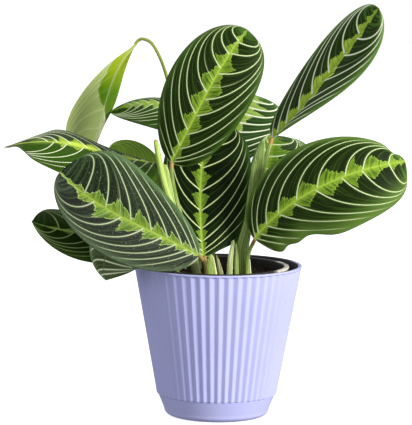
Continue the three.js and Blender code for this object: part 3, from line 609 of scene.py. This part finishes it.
def makeBlade(name, leaf, materials):
    # a closed leaf on a grid of u along the midrib and v across, -1 and 1 at the margins, with relief along
    # its normals, and with maps on its corners that the leaf's material draws veins and teeth from
    g = leafGrid
    rows, n = g["rows"], g["half"]
    look = {**leafColours, **leaf["look"]}
    u = (1 - np.cos(np.pi * np.arange(rows + 1) / rows)) / 2
    s = (np.arange(n + 1) / n) ** g["spread"]
    v = np.concatenate([-s[:0:-1], s])[None, :]
    columns = 2 * n + 1
    surface, reach, fullReach = bladeSurface(leaf, u, v)
    uu = u[:, None]
    root = veinRoot(uu, np.minimum(np.abs(v) * reach / fullReach, 1), look["sweep"])
    across = reach * np.abs(v)
    toMargin = reach * (1 - np.abs(v))
    # lengths of a step along and across, for the spacing of the veins
    lengthAlong = np.linalg.norm(np.gradient(surface, u, axis=0), axis=-1)
    lengthAcross = np.linalg.norm(np.gradient(surface, v[0], axis=1), axis=-1)
    maps = []
    for side in (0, 1):
        roots = leaf["roots"][side]
        # past the roots given a few more lead on to the tip, and those show only as far as lastRoot
        ends = [0, *roots, *([0.9, 0.96, 1] if roots[-1] < 0.86 else [0.95, 1])]
        phase = np.interp(root, ends, np.arange(len(ends)))
        rise = np.hypot(np.gradient(phase, u, axis=0) / lengthAlong,
                        np.gradient(phase, v[0], axis=1) / np.maximum(lengthAcross, 1e-6))
        gap = np.clip(1 / np.maximum(rise, 1e-4), 0.3, 40)
        thin = np.full_like(phase, 9.0)  # mm to the nearest fine vein, with 9 for far off
        for share in leaf["thin"][side]:
            offset = (phase - np.interp(share, ends, np.arange(len(ends)))) * gap
            thin = np.where(np.abs(offset) < np.abs(thin), offset, thin)
        maps.append(dict(phase=phase, gap=gap, thin=thin))
    teeth = look["teeth"] * np.interp(root, look["teethPlaces"], look["teethShares"])
    lastRoot = look["lastRoot"]
    veinShow = 1 - smoothstep(np.abs(v), *look["veinFade"])
    veinShow = veinShow * (1 - smoothstep(root, lastRoot, lastRoot + 0.03))
    phase = np.where(v < 0, maps[0]["phase"], maps[1]["phase"])
    f = phase - np.floor(phase)
    # relief: the blade swells between its veins and sinks along the midrib
    swell = g["pillow"] * (4 * f * (1 - f)) ** 0.7 * smoothstep(across, 0.5, 5) * smoothstep(toMargin, 0, 6)
    sink = g["groove"] * np.exp(-(across / g["grooveHalf"]) ** 2) * (1 - 0.7 * uu) * smoothstep(reach, 2, 8)
    normal = unitVectors(np.cross(np.gradient(surface, axis=1), np.gradient(surface, axis=0)))
    top = surface + normal * (swell - sink - g["sunk"])[..., None]
    depth = g["marginThickness"] + (g["thickness"] - g["marginThickness"]) * smoothstep(toMargin, 0, 3)
    ridge = g["ridge"] * (1 - 0.75 * uu) * np.exp(-(across / g["ridgeHalf"]) ** 2)
    under = top - normal * (depth + ridge)[..., None]
    points = np.concatenate([top.reshape(-1, 3), under.reshape(-1, 3)])
    size = (rows + 1) * columns
    quads = gridQuads(rows + 1, columns)
    # the edge strips join the upper to the under surface along the base, the tip and both margins
    first = np.arange(columns - 1)
    last = rows * columns + first
    down = np.arange(rows) * columns
    edges = [(first, first + 1), (last + 1, last),
             (down + columns, down), (down + columns - 1, down + 2 * columns - 1)]
    strips = [np.stack([p, size + p, size + q, q], -1) for p, q in edges]
    isUnder = np.concatenate([np.zeros(len(quads)), np.ones(len(quads))]
                             + [np.full(len(strip), 0.5) for strip in strips])
    quads = np.concatenate([quads, quads[:, ::-1] + size] + strips)
    # each corner reads the map of the half that its face is on
    where = quads % size
    cornerRow, cornerColumn = where // columns, where % columns
    side = (cornerColumn.mean(1, keepdims=True) > n).astype(int) + 0 * where

    def onCorners(left, right):
        return np.where(side == 0, left[cornerRow, cornerColumn], right[cornerRow, cornerColumn]).ravel()

    both = {key: onCorners(maps[0][key], maps[1][key]) for key in ("phase", "gap", "thin")}
    values = dict(
        veinMap=np.stack([both["phase"], both["gap"], both["thin"]], -1),
        bladeMap=np.stack([onCorners(a, a) for a in (across, toMargin, teeth)], -1),
        placeMap=np.stack([onCorners(a, a) for a in (uu + 0 * v, v + 0 * uu, veinShow)], -1),
        underside=np.repeat(isUnder, 4))
    return makePiece("leaf_" + name, points, quads, materials,
                     ["blade_" + name], cornerValues=values)


def leafMaterial(name, look, seed):
    # a satin waxy leaf: near black green bands between pale veins, a lime zone toothed along the midrib,
    # fine streaks that run with the veins, and a paler underside
    material, node = newMaterial("leaf_" + name)
    c = {**leafColours, **look}

    def channels(attribute):
        return node("SeparateXYZ", [node("Attribute", attribute_name=attribute, out="Vector")]).node.outputs

    phase, gap, thin = channels("veinMap")
    across, toMargin, teeth = channels("bladeMap")
    share, sideways, show = channels("placeMap")
    under = node("Attribute", attribute_name="underside", out="Fac")
    v = node("Math", [sideways], operation="ABSOLUTE")
    isLeft = node("MapRange", [sideways, -0.004, 0.004, 1, 0])

    def sided(key):  # a colour that may differ on the left half; on front_left the greyer left half is a painted sheen
        layers = [(isLeft, colour(c[key + "Left"]))] if key + "Left" in c else []
        return painted(node, colour(c[key]), *layers)

    f = node("Math", [phase], operation="FRACT")
    centred = node("Math", [node("Math", [f, 0.5], operation="SUBTRACT")], operation="ABSOLUTE")
    # distance to the nearest vein, in mm
    fromVein = allOf(node, node("Math", [0.5, centred], operation="SUBTRACT"), gap)
    # streaks that run with the veins, about 0.8 mm apart
    streakPlace = node("CombineXYZ", [allOf(node, phase, 11.0), allOf(node, across, 0.05), float(seed)])
    streaks = node("TexNoise", {"Vector": streakPlace, "Scale": 1.0, "Detail": 4.0, "Roughness": 0.65})
    place = node("TexCoord", out="Object")
    # dark bands between the veins, that end raggedly before the margin
    band = node("MapRange", [fromVein, *c["bandEdge"]], interpolation_type="SMOOTHSTEP")
    frayed = node("MapRange", [streaks, 0.3, 0.7, -c["fray"], c["fray"]])
    marginLeft, marginRight = (float(width) for width in c["marginWidth"])
    width = node("MapRange", [isLeft, 0, 1, marginRight, marginLeft])
    inner = node("MapRange", [node("Math", [toMargin, frayed], operation="SUBTRACT"), 0, width],
                 interpolation_type="SMOOTHSTEP")
    streak = node("MapRange", [streaks, 0.5, 0.8, 0, 0.5])
    # a faint paler line midway between two veins
    middle = node("MapRange", [allOf(node, centred, gap), 0.15, 0.5, 0.3, 0])
    # lime teeth: from each vein a lobe reaches out, then falls back in notches before the next vein
    ragged = node("TexNoise", {"Vector": streakPlace, "Scale": 0.6, "Detail": 3.0})
    ragged = node("MapRange", [ragged, 0.3, 0.7, -0.1, 0.1])
    lobe = node("ValToRGB", [f], stops=lobeShapes[c["lobes"]])
    lobe = node("Math", [lobe, 1 - c["core"], float(c["core"])], operation="MULTIPLY_ADD")
    lobe = allOf(node, node("Math", [lobe, ragged], operation="ADD"), teeth)
    beyondTooth = node("Math", [lobe, across], operation="SUBTRACT")
    toothed = node("MapRange", [beyondTooth, -0.25, 0.25], interpolation_type="SMOOTHSTEP")
    limeTone = painted(node, colour(c["limeDeep"]),
                       (node("MapRange", [streaks, 0.38, 0.62]), colour(c["lime"])),
                       (node("MapRange", [across, 0, 4.5, 0.7, 0]), colour(c["rib"])),
                       (node("MapRange", [beyondTooth, 0.3, 1.1, 0.75, 0]), colour(c["limeEdge"])))
    # two finer, darker veins in each tooth
    fine = node("Math", [node("Math", [f, 0.3, 0.022], operation="COMPARE"),
                         node("Math", [f, 0.62, 0.02], operation="COMPARE")], operation="MAXIMUM")
    layers = [(inner, sided("beside")), (allOf(node, band, inner), sided("dark")),
              (streak, colour(c["stria"])), (middle, colour(c["stria"])), (toothed, limeTone),
              (allOf(node, fine, toothed, 0.55), colour(c["beside"]))]
    # paler glows over part of the leaf's length, near the midrib
    for low, high, reachOut, glow, amount in c["glows"]:
        mask = node("MapRange", [across, reachOut * 0.4, reachOut * 1.3, float(amount), 0],
                    interpolation_type="SMOOTHSTEP")
        ends = (node("MapRange", [share, start, end], interpolation_type="SMOOTHSTEP")
                for start, end in ((low - 0.06, low + 0.04), (high + 0.06, high - 0.04)))
        layers.append((allOf(node, mask, *ends), colour(glow)))
    # veins, 1 mm wide at the midrib and thinner outwards, that fade before the margin
    veinHalf = node("MapRange", [v, 0, 1, *c["veinHalf"]])
    beyondVein = node("Math", [fromVein, veinHalf], operation="SUBTRACT")
    veinLine = node("MapRange", [beyondVein, -0.15, 0.15, 1, 0], interpolation_type="SMOOTHSTEP")
    veinShown = allOf(node, veinLine, show)
    thinLine = node("MapRange", [node("Math", [thin], operation="ABSOLUTE"), 0.15, 0.45, 0.55, 0])
    thinShown = allOf(node, thinLine, node("MapRange", [v, 0.3, 0.75, 1, 0]))
    veinMask = node("Math", [veinShown, thinShown], operation="MAXIMUM")
    # midrib, 2 mm wide at the base and 0.7 mm at the tip
    ribHalf = node("MapRange", [share, 0, 1, *c["ribHalf"]])
    beyondRib = node("Math", [across, ribHalf], operation="SUBTRACT")
    ribLine = node("MapRange", [beyondRib, -0.25, 0.25, 1, 0], interpolation_type="SMOOTHSTEP")
    ribLine = allOf(node, ribLine, node("MapRange", [share, *c["ribFade"], 1, 0.25]))
    layers += [(veinMask, colour(c["vein"])), (ribLine, colour(c["rib"]))]
    if c["dust"]:  # fine pale specks, 0.9 mm apart
        specks = node("TexNoise", {"Vector": place, "Scale": 1100.0, "Detail": 1.0})
        layers.append((node("MapRange", [specks, 0.7, 0.76, 0, 0.45]), colour("#D5D9C8")))
    # the underside has the same streaks and veins, paler
    below = painted(node, sided("under"),
                    (node("MapRange", [streaks, 0.42, 0.66, 0, 0.7]), colour(c["stria"])),
                    (allOf(node, band, 0.45), colour(c["stria"])))
    belowShown = 0.8
    if "fold" in c:  # the part beyond a slanting fold is painted the bright yellow-green of light shining through the blade, with a painted shade line along the crease
        toRight = node("MapRange", [sideways, -1, 1.06])
        foldAt = node("ValToRGB", [share], stops=c["fold"])
        beyond = node("MapRange", [node("Math", [toRight, foldAt], operation="SUBTRACT"), -0.015, 0.02])
        shoneThrough = node("ValToRGB", [share], stops=[(0.05, colour("#B2C428")), (0.3, colour("#A2BE18")),
                                                 (0.5, colour("#5F960E")), (0.75, colour("#6E9A20"))])
        shoneThrough = painted(node, shoneThrough, (node("MapRange", [streaks, 0.5, 0.75, 0, 0.4]), colour("#B4C84A")))
        creaseShade = allOf(node, node("MapRange", [beyond, 0.1, 0.5, 0, 0.5]),
                       node("MapRange", [beyond, 1, 0.6]))
        below = painted(node, below, (beyond, shoneThrough), (creaseShade, colour("#5A6E22")))
        belowShown = node("MapRange", [beyond, 0, 1, 0.7, 0.12])
    belowRib = allOf(node, ribLine, float(c["ribBelow"]))
    belowLines = node("Math", [allOf(node, veinShown, belowShown), belowRib], operation="MAXIMUM")
    below = painted(node, below, (belowLines, colour(c["underVein"])))
    tone = painted(node, sided("margin"), *layers, (under, below))
    cloud = node("TexNoise", {"Vector": place, "Scale": 60.0, "Detail": 4.0})
    gloss = node("MapRange", [cloud, 0.3, 0.7, c["rough"] - 0.05, c["rough"] + 0.08])
    relief = node("Math", [streaks, allOf(node, veinMask, 0.6)], operation="ADD")
    skin = node("Bump", {"Strength": 0.35, "Distance": 0.25 * mm, "Height": relief})
    node("OutputMaterial", [node("BsdfPrincipled", {
        "Base Color": tone, "Roughness": gloss, "Normal": skin, "IOR": 1.45, "Specular IOR Level": 0.07})])
    return material


for seed, (name, leaf) in enumerate(blades.items()):
    makeBlade(name, {**leafCommon, **leaf}, [leafMaterial(name, leaf.get("look", {}), seed)])
print("leaves made:", len(blades))

# Stalks, sheaths and rolled leaves.
# path: points up to the blade, with the height stalkFoot for one that gives none. radius: at foot and top.
# shoots: sheaths and rolled young leaves that have grown together with it.
stalkFoot = 108
stemGrid = dict(sides=24, steps=90, sheathTip=0.4, flatness=0.4, intoBlade=0.6, kneeLength=8,
                kneeSwell=0.08)
stalks = {
    "top_middle": dict(
        path=[[-15, -32], [-24, -33, 148], [-35, -26, 184], [-39.5, -13, 205]], radius=[2.6, 1.7],
        shoots=[dict(path=[[-15, -32], [-24, -35, 145], [-37, -34, 172], [-46.5, -15, 214]],
                     half=5, taper=0.16),
                dict(path=[[-24, -35, 145], [-38, -33, 178], [-47, -28, 205], [-53.3, -20, 235]],
                     half=3.1, taper=0.15, flatness=0.9, rolled=True)]),
    "top_right": dict(
        path=[[21, -12], [19, -14, 142], [24.5, -12, 166], [34, -1, 199]], radius=[2.6, 1.8],
        shoots=[dict(path=[[21, -13], [19.5, -16, 142], [25.5, -13, 167], [31, -8, 196], [37, -2, 233]],
                     half=4.8, taper=0.24),
                dict(path=[[25, -14, 167], [27, -13, 190], [30, -12, 219]], half=3.6, taper=0.4)]),
    "right": dict(path=[[25, -19], [24.5, -20, 128], [25.5, -23, 141]], radius=[2, 1.5],
                  shoots=[dict(path=[[25.5, -19], [25.5, -19.5, 125], [24, -20.5, 144]],
                               half=2.6, taper=0.3)]),
    "front_left": dict(path=[[-10, -43], [-10, -44, 124], [-11.5, -47, 135]], radius=[2, 1.6]),
    "far_left": dict(path=[[-24, 16], [-36, 22, 144], [-46, 30, 178]], radius=[2.4, 1.8]),
    "young_drooping": dict(path=[[-14, 16], [-24, 36, 180], [-37, 55, 245], [-47, 66, 286],
                                 [-57.5, 74, 308], [-66, 78, 313.5], [-71, 80, 312]], radius=[2.4, 1.2]),
    "back_left": dict(path=[[-4, 20], [-6, 46, 158], [-10, 70, 200]], radius=[2.4, 1.8]),
    "behind_left": dict(path=[[-27, 7], [-37, 16, 127], [-48, 28, 145]], radius=[2.4, 1.8]),
    "low_left": dict(path=[[-30, -5], [-33, -3, 118], [-38, 1, 128]], radius=[2.4, 1.8]),
    "over_rim": dict(path=[[-19, -19], [-19, -20, 116], [-21, -24, 125]], radius=[2.4, 1.8]),
    "centre": dict(path=[[-6, -24], [-7, -23, 117], [-9, -22, 127]], radius=[2.4, 2]),
    "behind_middle": dict(path=[[12, 12], [15.5, 18, 136], [14, 30, 156], [7, 46, 184]], radius=[2.4, 1.8]),
    "behind_right": dict(path=[[20, 3], [22, 9, 128], [25, 16, 146]], radius=[2.4, 1.8]),
}
looseSheaths = {
    "sheath_pale": dict(path=[[9.5, -21], [9.8, -21, 130], [11, -19.5, 142], [12.8, -18, 151]],
                        half=3, taper=0.35),
    "sheath_middle": dict(path=[[15.5, -18], [15.4, -18.5, 126], [15.2, -18.8, 139], [14.8, -18.8, 148]],
                          half=2.3, taper=0.35),
    "sheath_front": dict(path=[[-5.5, -36], [-5.8, -36, 122], [-6.2, -36, 132], [-6, -36, 141]],
                         half=7, taper=0.45),
    "sheath_striped": dict(path=[[3.2, -31], [2, -31, 123], [0.4, -31, 132], [-1.8, -31, 140]],
                           half=4, taper=0.7),
}


def smoothPath(points, count):
    # a Catmull-Rom curve through the points, with points a step beyond each end, sampled evenly by length
    p = np.array([list(q) + [stalkFoot] * (3 - len(q)) for q in points], float)
    p = np.concatenate([[2 * p[0] - p[1]], p, [2 * p[-1] - p[-2]]])
    t = np.linspace(0, 1, 60, endpoint=False)[None, :, None]
    a, b, c, d = (p[i:len(p) - 3 + i][:, None] for i in range(4))
    dense = b + 0.5 * t * (c - a) + t ** 2 * (a - 2.5 * b + 2 * c - 0.5 * d) \
        + t ** 3 * (-0.5 * a + 1.5 * b - 1.5 * c + 0.5 * d)
    dense = np.concatenate([dense.reshape(-1, 3), p[-2:-1]])
    length = np.concatenate([[0], np.cumsum(np.linalg.norm(np.diff(dense, axis=0), axis=1))])
    even = np.linspace(0, length[-1], count)
    return np.stack([np.interp(even, length, dense[:, k]) for k in range(3)], -1), even


def stemTube(points, halfAt, flatness, knee):
    # an elliptical section, half wide and half x flatness deep, carried along a smooth path, with its wide
    # side to the front; it closes in a dome at the top and a flat at the foot
    g = stemGrid
    path, length = smoothPath(points, g["steps"])
    t = length / length[-1]
    along = unitVectors(np.gradient(path, axis=0))
    side = unitVectors(np.cross(along, [0, -1, 0]))
    front = np.cross(side, along)
    half = halfAt(t)
    fromTop = length[-1] - length
    if knee:  # the jointed knee just under the blade is a little thicker
        half = half * (1 + g["kneeSwell"] * smoothstep(fromTop, g["kneeLength"], g["kneeLength"] - 2.5)
                       * smoothstep(fromTop, 0, 3))
    turn = np.arange(g["sides"]) / g["sides"] * 2 * np.pi
    ring = np.cos(turn)[None, :, None] * side[:, None] * half[:, None, None] \
        + np.sin(turn)[None, :, None] * front[:, None] * (half * flatness)[:, None, None]
    tube = path[:, None] + ring
    dome = np.array([0.92, 0.7, 0.38, 0.0])
    rise = np.array([0.35, 0.7, 0.92, 1.0]) * min(half[-1], 0.8)
    cap = path[-1] + ring[-1][None] * dome[:, None, None] + along[-1] * rise[:, None, None]
    foot = path[:1, None] + 0 * ring[:1]
    tube = np.concatenate([foot, tube, cap])
    rowShare = np.concatenate([[0], t, [1] * 4])
    rowLength = np.concatenate([[0], length, length[-1] + rise])
    rowHalf = np.concatenate([[half[0]], half, [half[-1]] * 4])
    count = len(turn)
    spread = np.ones(count)
    values = dict(
        sectionMap=np.stack([np.outer(rowHalf, np.cos(turn)).ravel(),
                             np.outer(rowHalf * flatness, np.sin(turn)).ravel(),
                             np.outer(rowLength, spread).ravel()], -1),
        stemMap=np.stack([np.outer(rowShare, spread).ravel(),
                          np.outer(rowLength[-1] - rowLength, spread).ravel(),
                          np.outer(np.ones(len(rowShare)), np.cos(turn)).ravel()], -1))
    return tube.reshape(-1, 3), gridQuads(len(tube), count, closed=True)[:, ::-1], values


# foot: the share of a stem that is darkened at its foot as painted shade, in the colour after it
stemColours = dict(body="#86A24C", stripe="#56752C", pale="#B9C97C", edge="#DDE3BE", knee="#94803F",
                   kneeStart=8, edgeSide=0, foot=0, footShade="#20270F")
stemLooks = {
    # the stalk and sheath of top_middle are painted in shade at the foot, where the front_left leaf shades
    # them
    "top_middle": dict(stalk=dict(knee="#A58A52", foot=0.3),
                       sheath=dict(body="#A9BF66", stripe="#76933E", pale="#D0DB9E", foot=0.3),
                       rolled=dict(body="#A8C850", stripe="#7AA236", pale="#CFE08C", knee="#A39A5E",
                                   kneeStart=3)),
    "top_right": dict(stalk=dict(knee="#A8843C"),
                      sheath=dict(body="#7C9A44", stripe="#466428", pale="#A8BC70")),
    "right": dict(stalk=dict(knee="#7E6438"), sheath=dict(body="#8DA95A", edge="#F0F2E4", edgeSide=1.0)),
    "front_left": dict(stalk=dict(body="#5A5628", stripe="#3A3618", pale="#8A8048", knee="#A08C50")),
    "over_rim": dict(stalk=dict(body="#36461E", stripe="#222E14", pale="#56663A", knee="#4A4A24")),
    "young_drooping": dict(stalk=dict(body="#7F9430", stripe="#5E7420", pale="#A6B64C", knee="#A4B038")),
    "sheath_pale": dict(sheath=dict(body="#9FB26C", stripe="#7A9048", pale="#D4DCB4", edge="#E6E9CF",
                                    edgeSide=-1.0)),
    "sheath_middle": dict(sheath=dict(body="#7F9A4C")),
    "sheath_front": dict(sheath=dict(body="#96B052", stripe="#6C8A34", edge="#D5DEA6", edgeSide=1.0)),
    "sheath_striped": dict(sheath=dict(body="#6A6E3C", stripe="#43301F", pale="#C2C494")),
}


def stemMaterial(name, kind, look):
    # a juicy green stem with a thin waxy skin: fine lengthwise lines, paler margins, a warmer knee, and on
    # some a painted shade at the foot
    material, node = newMaterial(kind + "_" + name)
    c = {**stemColours, **look}
    section = node("Attribute", attribute_name="sectionMap", out="Vector")
    share, fromTop, sideways = node("SeparateXYZ", [
        node("Attribute", attribute_name="stemMap", out="Vector")]).node.outputs
    stretched = (node("VectorMath", [section, stretch], operation="MULTIPLY")
                 for stretch in ((1.5, 1.5, 0.02), (0.3, 0.3, 0.06)))  # lines 0.7 mm apart, patches of 3 mm
    lines, patches = (node("TexNoise", {"Vector": vector, "Scale": 1.0, "Detail": detail})
                      for vector, detail in zip(stretched, (3.0, 2.0)))
    tone = node("ValToRGB", [lines], stops=[
        (0.34, colour(c["stripe"])), (0.5, colour(c["body"])), (0.68, colour(c["pale"]))])
    layers = [(node("MapRange", [patches, 0.45, 0.7, 0, 0.35]), colour(c["pale"]))]
    if c["edgeSide"]:
        edge = node("MapRange", [allOf(node, sideways, c["edgeSide"]), 0.72, 0.9],
                    interpolation_type="SMOOTHSTEP")
        layers.append((edge, colour(c["edge"])))
    if c["foot"]:  # painted shade: the foot, in the shadow of the leaves, is darkened
        footShade = node("MapRange", [share, c["foot"] * 0.7, c["foot"], 0.88, 0],
                     interpolation_type="SMOOTHSTEP")
        layers.append((footShade, colour(c["footShade"])))
    if kind != "sheath":
        knee = node("MapRange", [fromTop, c["kneeStart"] * 0.6, c["kneeStart"], 1, 0],
                    interpolation_type="SMOOTHSTEP")
        layers.append((knee, colour(c["knee"])))
    skin = node("Bump", {"Strength": 0.5, "Distance": 0.3 * mm, "Height": lines})
    node("OutputMaterial", [node("BsdfPrincipled", {
        "Base Color": painted(node, tone, *layers), "Roughness": 0.45, "Normal": skin, "IOR": 1.42})])
    return material


def makeStem(name, cadNode, tubes, look):
    # tubes: (points, half-width function, flatness, knee, kind)
    kinds = sorted({tube[4] for tube in tubes})
    materials = [stemMaterial(name, kind, look.get(kind, {})) for kind in kinds]
    points, quads, values, index = [], [], [], []
    start = 0
    for path, halfAt, flatness, knee, kind in tubes:
        somePoints, someQuads, someValues = stemTube(path, halfAt, flatness, knee)
        points.append(somePoints)
        quads.append(someQuads + start)
        values.append(someValues)
        index.append(np.full(len(someQuads), kinds.index(kind)))
        start += len(somePoints)
    joined = {key: np.concatenate([v[key] for v in values]) for key in values[0]}
    return makePiece(name if name.startswith("sheath") else "stem_" + name, np.concatenate(points),
                     np.concatenate(quads), materials, [cadNode], values=joined,
                     materialIndex=np.concatenate(index), weld=True)


def sheathTube(sheath):
    half, taper, tip = sheath["half"], sheath["taper"], stemGrid["sheathTip"]
    return (sheath["path"], lambda t: tip + (half - tip) * np.clip(1 - t, 0, 1) ** taper,
            sheath.get("flatness", stemGrid["flatness"]), False,
            "rolled" if sheath.get("rolled") else "sheath")


for name, stalk in stalks.items():
    base = ribPoint(blades[name]["rib"], [0.0, 0.01])
    end = base[0] + unitVectors(base[1] - base[0]) * stemGrid["intoBlade"]
    foot, top = stalk["radius"]
    tubes = [(stalk["path"] + [end.tolist()],
              lambda t, foot=foot, top=top: foot + (top - foot) * t, 1, True, "stalk")]
    tubes += [sheathTube(sheath) for sheath in stalk.get("shoots", [])]
    makeStem(name, "stalk_" + name, tubes, stemLooks.get(name, {}))
for name, sheath in looseSheaths.items():
    makeStem(name, name, [sheathTube(sheath)], stemLooks.get(name, {}))
print("stems made:", len(stalks) + len(looseSheaths))

# Floor, light and camera
studio = dict(aim=(0, 0, 170), ambient="#FFFFFF", fromBelow=0.2, fromAbove=0.62,
              floor="#F4F4F6", floorGlow=0.78,
              key=dict(place=(1683, -1269, 937), size=800, power=68, tint="#FFFCF2"),
              fill=dict(place=(-1700, -1300, 700), size=1200, power=6, tint="#FFFFFF"))
viewpoint = dict(place=(-10.6, -2200, 429), aim=(-10.6, 0, 172), focalPixels=2629, longSidePixels=425,
                 roll=-0.6, sensor=36)


def lookAt(place, aim, roll=0.0):
    # the matrix of a camera or lamp at place that looks at aim, leant over by roll degrees
    place, aim = np.asarray(place, float), np.asarray(aim, float)
    forward = unitVectors(aim - place)
    right = unitVectors(np.cross(forward, [0, 0, 1]))
    up = np.cross(right, forward)
    c, s = math.cos(math.radians(roll)), math.sin(math.radians(roll))
    axes = np.eye(4)
    axes[:3, 0], axes[:3, 1], axes[:3, 2] = right * c - up * s, up * c + right * s, -forward
    axes[:3, 3] = place * mm
    return Matrix(axes.tolist())


def makeFloor():
    # seamless white paper, lit so that it stays bright, with only a soft shadow under the pot
    material, node = newMaterial("white_paper")
    pulp = node("TexNoise", {"Vector": node("TexCoord", out="Object"), "Scale": 900.0, "Detail": 2.0})
    skin = node("Bump", {"Strength": 0.1, "Distance": 0.1 * mm, "Height": pulp})
    node("OutputMaterial", [node("BsdfPrincipled", {
        "Base Color": colour(studio["floor"]), "Roughness": 0.9, "Normal": skin,
        "Emission Color": colour(studio["floor"]), "Emission Strength": studio["floorGlow"]})])
    side = np.linspace(-6000, 6000, 13)
    x, y = np.meshgrid(side, side, indexing="xy")
    points = np.stack([x, y, 0 * x - 0.05], -1).reshape(-1, 3) * mm
    mesh = bpy.data.meshes.new("floor")
    mesh.from_pydata(points.tolist(), [], gridQuads(13, 13).tolist())
    mesh.materials.append(material)
    floor = bpy.data.objects.new("floor", mesh)
    bpy.context.scene.collection.objects.link(floor)
    floor.visible_diffuse = floor.visible_glossy = False


def makeLamp(name, lamp):
    light = bpy.data.lights.new(name, "AREA")
    light.size = lamp["size"] * mm
    light.energy = lamp["power"]
    light.color = colour(lamp["tint"])[:3]
    holder = bpy.data.objects.new(name, light)
    bpy.context.scene.collection.objects.link(holder)
    holder.matrix_world = lookAt(lamp["place"], studio["aim"])


def makeWorld():
    # soft even light, and plain white behind the plant
    world = bpy.data.worlds.new("studio")
    world.use_nodes = True
    world.node_tree.nodes.clear()
    node = partial(addNode, world.node_tree)
    height = node("SeparateXYZ", [node("TexCoord", out="Generated")], out=2)
    strength = node("MapRange", [height, -1, 1, studio["fromBelow"], studio["fromAbove"]])
    soft = node("Background", {"Color": colour(studio["ambient"]), "Strength": strength})
    plain = node("Background", {"Color": colour("#FFFFFF"), "Strength": 1.0})
    seen = node("LightPath", out="Is Camera Ray")
    node("OutputWorld", [node("MixShader", [seen, soft, plain])])
    bpy.context.scene.world = world


def makeCamera():
    v = viewpoint
    camera = bpy.data.cameras.new("camera")
    camera.sensor_width = v["sensor"]
    camera.lens = v["focalPixels"] / v["longSidePixels"] * v["sensor"]
    camera.clip_start, camera.clip_end = 0.05, 50
    holder = bpy.data.objects.new("camera", camera)
    bpy.context.scene.collection.objects.link(holder)
    holder.matrix_world = lookAt(v["place"], v["aim"], v["roll"])
    bpy.context.scene.camera = holder


makeFloor()
makeLamp("key_softbox", studio["key"])
makeLamp("fill_softbox", studio["fill"])
makeWorld()
makeCamera()
scene = bpy.context.scene
scene.view_settings.view_transform = "Standard"
scene.view_settings.look = "None"
scene.view_settings.exposure = 0.0
scene.view_settings.gamma = 1.0
print("floor, light and camera set")
